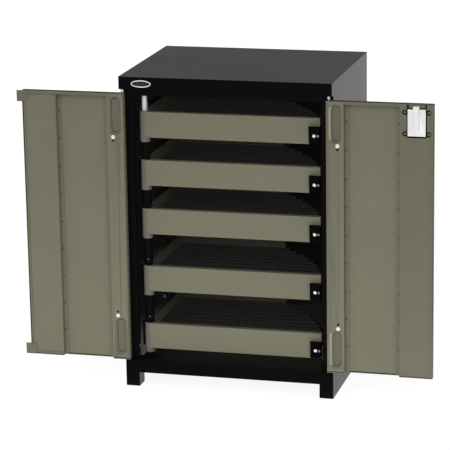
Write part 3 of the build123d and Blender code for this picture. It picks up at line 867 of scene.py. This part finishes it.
STAND_UP = Matrix.Rotation(math.radians(90), 4, "X")
for side, out in DOORS:
    skin = side + "_door_skin"
    x = hinge_edge(side, skin) + out * RECESS_FROM_HINGE
    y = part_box(HINGE_CHANNEL[side])[0].y + RECESS_DEEP - BAND_STAND_OFF
    bands = [(recess_band(), Matrix.Translation((x, y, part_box(skin)[0].z + height)) @ STAND_UP)
             for height in RECESS_HEIGHTS]
    add_piece(side + "_recess_lines", bands, weld_mark_and_shade_olive, side + "_door")
print("recess lines", len(RECESS_HEIGHTS) * len(DOORS))

# %% [markdown]
# ## Hinge pins
# Each door turns on two loose pins, carried by a collar that is turned like a
# bead and shows as one bright dot. They stand for the CAD model's plain pins.

# %% Hinge pins
PIN_RADIUS = 0.00275
COLLAR_RADIUS = 0.0048
PIN_CHAMFER = 0.0004
PIN_IN_DOOR = 0.022
COLLAR_GAP = 0.0004
BEAD = ((0.06, 0.0), (0.10, 0.35), (0.22, 0.80), (0.36, 1.0), (0.64, 1.0), (0.78, 0.80), (0.90, 0.35),
        (0.94, 0.0))         # shares of the collar's height and of its width


def bead_pin(low_z, high_z, collar_low, collar_high):
    """A pin with a bead-shaped collar, spun about +Z."""
    slim = PIN_RADIUS - PIN_CHAMFER
    points = [(0, low_z), (slim, low_z), (PIN_RADIUS, low_z + PIN_CHAMFER)]
    for share, wide in BEAD:
        points.append((PIN_RADIUS + (COLLAR_RADIUS - PIN_RADIUS) * wide,
                       collar_low + (collar_high - collar_low) * share))
    points += [(PIN_RADIUS, high_z - PIN_CHAMFER), (slim, high_z), (0, high_z)]
    return turned(points)


pins_low, pins_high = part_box("door_pins")
cap_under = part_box("top_cap")[0].z
foot_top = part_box("corner_feet")[1].z
pins = []
for side, out in DOORS:
    door_low, door_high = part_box(side + "_door_skin")
    pin_x = pins_low.x + COLLAR_RADIUS if side == "left" else pins_high.x - COLLAR_RADIUS
    place = Matrix.Translation((pin_x, (pins_low.y + pins_high.y) / 2, 0))
    pins.append((bead_pin(door_high.z - PIN_IN_DOOR, pins_high.z, door_high.z + COLLAR_GAP, cap_under), place))
    pins.append((bead_pin(pins_low.z, door_low.z + PIN_IN_DOOR, foot_top, door_low.z - COLLAR_GAP), place))
pin_piece = add_piece("hinge_pins_turned", pins, screw_steel, "cabinet")
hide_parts("door_pins")
print("pins", len(pins))

# %% [markdown]
# ## Badge
# The cap has an oval badge near its left end: a bright round-backed rim and a
# dark field, left bare. Both are short profiles carried round an oval.

# %% Badge
BADGE_FROM_LEFT = 0.0815
BADGE_DOWN = 0.0012
BADGE_LONG, BADGE_TALL = 0.0725, 0.0258
RIM_WIDE, RIM_RISE = 0.0041, 0.0022
RIM_PARTS = 8
FIELD_PROFILE = [(0.0030, SUNK), (0.0030, 0.0008), (0.0040, 0.0010)]


def oval(profile, segments, closed):
    """A profile [(inset, height), ...] carried round the badge's oval."""
    form = bmesh.new()
    rings = [ring_at(form, BADGE_LONG / 2 - inset, BADGE_TALL / 2 - inset, height, segments)
             for inset, height in profile]
    for low, high in zip(rings, rings[1:]):
        join_rings(form, low, high)
    if closed:
        form.faces.new(rings[-1])
    bmesh.ops.recalc_face_normals(form, faces=form.faces)
    return form


swings = [math.pi * part / RIM_PARTS for part in range(RIM_PARTS + 1)]
rim_profile = [(RIM_WIDE / 2 - RIM_WIDE / 2 * math.cos(swing), RIM_RISE * math.sin(swing) + SUNK)
               for swing in swings]
cap_low, cap_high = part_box("top_cap")
badge_place = (cap_low.x + BADGE_FROM_LEFT, cap_low.y, (cap_low.z + cap_high.z) / 2 - BADGE_DOWN)
badge_matrix = Matrix.Translation(badge_place) @ STAND_UP
add_piece("badge_field", [(oval(FIELD_PROFILE, 64, True), badge_matrix)], badge_face, "cabinet")
add_piece("badge_ring", [(oval(rim_profile, 72, False), badge_matrix)], screw_steel, "cabinet")
print("badge", BADGE_LONG, BADGE_TALL)

# %% [markdown]
# ## Thumb plates
# The black thumb plate is held by one bright screw and a small rivet. It leans
# back a little, so both stand square on a face that is looked up in the mesh.

# %% Thumb plate screws
PLATE_SCREW = (0.617, 0.032)      # from the pole's axis, and up from the tray front's foot
PLATE_RIVET = (0.6305, 0.032)
PLATE_SCREW_RADIUS, PLATE_SCREW_RISE = 0.0060, 0.0026
RIVET_PROFILE = [(0.0043, SUNK), (0.0043, 0.0008), (0.0028, 0.0016), (0, 0.0018)]


def largest_face(node, chosen):
    """The largest face of a node's rounded copy for which chosen(normal) is true."""
    faces = [face for face in rounded[node].data.polygons if chosen(face.normal)]
    return max(faces, key=lambda face: face.area)


def on_face(face, x, z):
    """The point of a face's plane at x and z."""
    centre, normal = face.center, face.normal
    y = centre.y - (normal.x * (x - centre.x) + normal.z * (z - centre.z)) / normal.y
    return Vector((x, y, z))


for tray in TRAYS:
    tray_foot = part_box(tray + "_tray_front")[0].z
    plate = largest_face(tray + "_latch_plate", lambda normal: normal.y < -0.8)
    screw_at = on_face(plate, pole_x + PLATE_SCREW[0], tray_foot + PLATE_SCREW[1])
    rivet_at = on_face(plate, pole_x + PLATE_RIVET[0], tray_foot + PLATE_RIVET[1])
    screw = (dome_head(PLATE_SCREW_RADIUS, PLATE_SCREW_RISE), stand_on(screw_at, plate.normal))
    rivet = (turned(RIVET_PROFILE), stand_on(rivet_at, plate.normal))
    add_piece(tray + "_plate_screw", [screw], screw_steel, tray + "_latch")
    add_piece(tray + "_plate_rivet", [rivet], dull_steel, tray + "_latch")
print("thumb plate screws", len(TRAYS))

# %% [markdown]
# ## Latch pivots
# The lever turns on a shouldered screw. Its head is a dome that rides with the
# tray, inside a dark ring of painted shade, which rides with the lever.

# %% Latch pivot heads
DOME_PROFILE = [(0.0074, SUNK), (0.0074, 0.0004), (0.0070, 0.0012), (0.0040, 0.0019), (0, 0.0021)]
GROOVE_PROFILE = [(0.0104, -0.0001), (0.0104, 0.0002), (0.0086, 0.0002), (0.0086, -0.0001)]
FURTHER_OUT = 0.001

for tray in TRAYS:
    head = None
    for face in rounded[tray + "_latch_pivot"].data.polygons:
        if face.normal.x > ALONG and (head is None or face.center.x > head.center.x + FURTHER_OUT):
            head = face
    lever_face = largest_face(tray + "_latch_lever", lambda normal: normal.x > ALONG)
    stands_out = (head.center - lever_face.center).dot(lever_face.normal)
    dome_place = stand_on(head.center, head.normal)
    groove_place = stand_on(head.center - stands_out * lever_face.normal, lever_face.normal)
    add_piece(tray + "_pivot_dome", [(turned(DOME_PROFILE), dome_place)], dull_zinc, tray + "_tray")
    add_piece(tray + "_pivot_groove", [(turned(GROOVE_PROFILE, 30), groove_place)], blued_steel_and_shade, tray + "_latch")
print("pivot heads", len(TRAYS))

# %% [markdown]
# ## Set screws and side screw
# Two of the spacer tubes are locked to the pole by a small set screw, of which
# a short ring with a sunk middle shows. One bright screw end stands low down on
# the left side sheet: a short stub with a neck.

# %% Set screws and side screw
SET_SCREW_RISE = 0.024
SPACER_RADIUS = 0.017
SET_SCREW_AIM = Vector((0.25, -0.97, 0)).normalized()
SOCKET_PROFILE = [(0.0034, -0.0006), (0.0034, 0.0004), (0.0026, 0.0008), (0.0016, 0.0008), (0.0014, 0.0),
                  (0, 0.0)]
SIDE_SCREW_FROM_BACK = 0.1165
SIDE_SCREW_HEIGHT = 0.1984
STUB_PROFILE = [(0.0046, SUNK), (0.0046, 0.0012), (0.0058, 0.0022), (0.0060, 0.0060), (0.0054, 0.0078),
                (0.0034, 0.0088), (0, 0.0090)]

for tray in ("lower", "bottom"):
    barrel_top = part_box(tray + "_tray_barrel")[1].z
    spot = Vector((pole_x, pole_y, barrel_top + SET_SCREW_RISE)) + SET_SCREW_AIM * SPACER_RADIUS
    add_piece(tray + "_spacer_set_screw", [(turned(SOCKET_PROFILE, 18), stand_on(spot, SET_SCREW_AIM))],
              blued_steel_and_shade, "cabinet")

side_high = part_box("left_side_panel")[1]
screw_spot = Vector((side_high.x, side_high.y - SIDE_SCREW_FROM_BACK, SIDE_SCREW_HEIGHT))
add_piece("left_side_screw", [(turned(STUB_PROFILE), stand_on(screw_spot, (1, 0, 0)))], screw_steel, "cabinet")
print("side screw at", [round(v, 4) for v in screw_spot])

# %% [markdown]
# ## Rivets on the trays' left walls
# The left wall is folded over at the top and held by two painted rivets.

# %% Rivets on the trays' left walls
WALL_RIVETS = (0.062, 0.096)
RIVET_FROM_SIDE = 0.008
WALL_RIVET_RADIUS, WALL_RIVET_RISE = 0.0045, 0.0026

for tray in TRAYS:
    rivet_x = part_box(tray + "_tray_pan")[0].x + RIVET_FROM_SIDE
    wall_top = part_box(tray + "_tray_front")[1].z
    rivets = [(dome_head(WALL_RIVET_RADIUS, WALL_RIVET_RISE), stand_on((rivet_x, pole_y + along, wall_top), (0, 0, 1)))
              for along in WALL_RIVETS]
    add_piece(tray + "_wall_rivets", rivets, olive_paint, tray + "_tray")
print("wall rivets", len(WALL_RIVETS) * len(TRAYS))

# %% [markdown]
# ## Lock
# The bolt lies in a groove of the lock's case. A thin grey line of painted
# shade runs along its side. The case sits in a larger cutout of the channel,
# and black strips of painted shade stand for the shade in the gap: one along
# each side, a wider one at the foot and two beside the bolt.

# %% Groove line and gap
GROOVE_LINE = (0.0003, 0.0014)
GROOVE_TOP_GAP = 0.0008
GROOVE_RISE = 0.00004
GAP_SIDE, GAP_FOOT, GAP_TOP = 0.0032, 0.0062, 0.0026
GAP_TOP_DEEP = 0.004
GAP_RISE = 0.0002
BOLT_GAP = 0.0004

bolt_low, bolt_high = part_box("lock_bolt")
case_low, case_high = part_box("lock_case")
groove = strip(bolt_high.x + GROOVE_LINE[0], bolt_high.x + GROOVE_LINE[1], bolt_low.z, case_high.z - GROOVE_TOP_GAP,
               case_low.y, GROOVE_RISE)
add_strips("lock_groove_line", [groove], dull_zinc, "right_door")

cutout_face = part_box("right_door_lock_channel")[0].y
gap_left, gap_right = case_low.x - GAP_SIDE, case_high.x + GAP_SIDE
top_z = (case_high.z, case_high.z + GAP_TOP)
gaps = [strip(gap_left, case_low.x, case_low.z, case_high.z, cutout_face, GAP_RISE),
        strip(case_high.x, gap_right, case_low.z, case_high.z, cutout_face, GAP_RISE),
        strip(gap_left, gap_right, case_low.z - GAP_FOOT, case_low.z, cutout_face, GAP_RISE),
        strip(case_low.x, bolt_low.x - BOLT_GAP, *top_z, cutout_face + GAP_TOP_DEEP, GAP_RISE),
        strip(bolt_high.x + BOLT_GAP, case_high.x, *top_z, cutout_face + GAP_TOP_DEEP, GAP_RISE)]
add_strips("lock_case_gap", gaps, shadow_gap, "right_door")
print("gap strips", len(gaps))

# %% [markdown]
# ## Round the lock
# Four bosses hold the lock's bracket, each inside a flat black ring of painted
# shade. Above the case the bolt runs in front of a small plate, whose paler
# paint is painted light against the recess's shade.

# %% Shade rings and plate
BOSS_SIDE, BOSS_TOP, BOSS_FOOT = 0.010, 0.0105, 0.007
SHADE_RING_PROFILE = [(0.0096, -0.0001), (0.0094, 0.0003), (0.0046, 0.0003), (0.0044, -0.0001)]
PLATE_SIDE_GAP = 0.003
PLATE_BEHIND = 0.0010
PLATE_SHEET = 0.0004

bracket_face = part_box("lock_bracket")[0].y
shade_rings = []
for x in (case_low.x - BOSS_SIDE, case_high.x + BOSS_SIDE):
    for z in (case_low.z + BOSS_FOOT, case_high.z - BOSS_TOP):
        shade_rings.append((turned(SHADE_RING_PROFILE, 30), stand_on((x, bracket_face, z), TOWARDS_FRONT)))
add_piece("lock_boss_shade_rings", shade_rings, shadow_gap, "right_door")

guide = strip(case_low.x + PLATE_SIDE_GAP, case_high.x - PLATE_SIDE_GAP, case_high.z + PLATE_SIDE_GAP,
              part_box("right_door_skin")[1].z - PLATE_SIDE_GAP, bolt_high.y + PLATE_BEHIND, PLATE_SHEET)
add_strips("bolt_guide", [guide], painted_light_olive, "right_door")
print("shade_rings", len(shade_rings), "and one plate")

# %% [markdown]
# ## Floor
# The floor is part matt and part glowing, so it goes white where nothing
# shades it and keeps a soft shadow. Shiny surfaces see it dark in front and
# pale behind. Matt surfaces get a pool of light from its front, and a weaker
# one from behind.

# %% Floor
FLOOR_HALF = 30.0
CAMERA_GLOW = 0.90
MATT_SHADE = 0.30
PLAIN_LIGHT = 0.25
POOL_LIGHT = 1.10

floor_form = bmesh.new()
bmesh.ops.create_grid(floor_form, x_segments=1, y_segments=1, size=FLOOR_HALF)
floor_mesh = bpy.data.meshes.new("studio_floor")
floor_form.to_mesh(floor_mesh)
floor_form.free()
add_object("studio_floor", floor_mesh)


def ramp(tree, value, from_range, to_range):
    """A smooth step from one range to another; returns its output."""
    labels = ("Value", "From Min", "From Max", "To Min", "To Max")
    feeds = dict(zip(labels, (value, *from_range, *to_range)))
    return add_node(tree, "ShaderNodeMapRange", feeds, interpolation_type="SMOOTHSTEP").outputs["Result"]


def add_up(tree, *values):
    """The sum of the values."""
    total = values[0]
    for value in values[1:]:
        total = add_math(tree, "ADD", total, value)
    return total


floor_material, tree, shader = start_material("studio_floor")
tree.nodes.remove(shader)
rays = add_node(tree, "ShaderNodeLightPath")
where = add_node(tree, "ShaderNodeTexCoord")
depth = add_node(tree, "ShaderNodeSeparateXYZ", {0: where.outputs["Object"]}).outputs["Y"]
from_middle = add_node(tree, "ShaderNodeVectorMath", {0: where.outputs["Object"]}, operation="LENGTH")

behind = ramp(tree, depth, (-0.45, -0.25), (0.25, 1.07))
glossy_glow = times(tree, behind, rays.outputs["Is Glossy Ray"])
camera_glow = times(tree, rays.outputs["Is Camera Ray"], CAMERA_GLOW)
pool = ramp(tree, from_middle.outputs["Value"], (2.2, 3.4), (1.0, 0.0))
in_front = ramp(tree, depth, (-0.42, -0.30), (1.0, 0.0))
at_back = ramp(tree, depth, (0.30, 0.60), (0.0, 0.45))
front_pool = times(tree, times(tree, pool, in_front), POOL_LIGHT)
floor_light = add_up(tree, front_pool, at_back, PLAIN_LIGHT)
diffuse_glow = times(tree, rays.outputs["Is Diffuse Ray"], floor_light)
glow = add_node(tree, "ShaderNodeEmission", {"Strength": add_up(tree, glossy_glow, camera_glow, diffuse_glow)})
matt = add_node(tree, "ShaderNodeBsdfDiffuse", {"Color": (MATT_SHADE, MATT_SHADE, MATT_SHADE, 1)})
both = add_node(tree, "ShaderNodeAddShader", {0: glow.outputs[0], 1: matt.outputs[0]})
tree.links.new(both.outputs[0], tree.nodes["Material Output"].inputs["Surface"])
floor_mesh.materials.append(floor_material)
print("floor glows", CAMERA_GLOW, "to the camera")

# %% [markdown]
# ## Soft light all round
# The world stands for the studio's soft boxes: white to the camera, and for
# matt surfaces a plain level, a wide box high in front and a lower one behind.
# Shiny surfaces see a grey sky.

# %% World
SKY_LIGHT = 0.32
FRONT_BOX = 1.54

world = bpy.data.worlds.new("studio")
bpy.context.scene.world = world
world.use_nodes = True
tree = world.node_tree
background = tree.nodes["Background"]
rays = add_node(tree, "ShaderNodeLightPath")
way = add_node(tree, "ShaderNodeTexCoord")
split = add_node(tree, "ShaderNodeSeparateXYZ", {0: way.outputs["Generated"]})
depth, height = split.outputs["Y"], split.outputs["Z"]

glossy_sky = ramp(tree, depth, (-0.2, 0.6), (0.30, 0.455))
glossy = times(tree, glossy_sky, rays.outputs["Is Glossy Ray"])
box_ahead = ramp(tree, depth, (-0.85, -0.35), (1.0, 0.0))
box_above = ramp(tree, height, (0.08, 0.30), (0.0, 1.0))
front_box = times(tree, times(tree, box_ahead, box_above), FRONT_BOX)
box_at_back = ramp(tree, depth, (0.35, 0.70), (0.0, 0.9))
box_low_down = ramp(tree, height, (0.25, 0.50), (1.0, 0.0))
back_box = times(tree, box_at_back, box_low_down)
soft_light = add_up(tree, front_box, back_box, SKY_LIGHT)
diffuse = times(tree, rays.outputs["Is Diffuse Ray"], soft_light)
total = add_up(tree, glossy, diffuse, rays.outputs["Is Camera Ray"])
tree.links.new(total, background.inputs["Strength"])
background.inputs["Color"].default_value = (1, 1, 1, 1)
bpy.context.scene.view_settings.view_transform = "Standard"
print("front box", FRONT_BOX, "and sky", SKY_LIGHT)
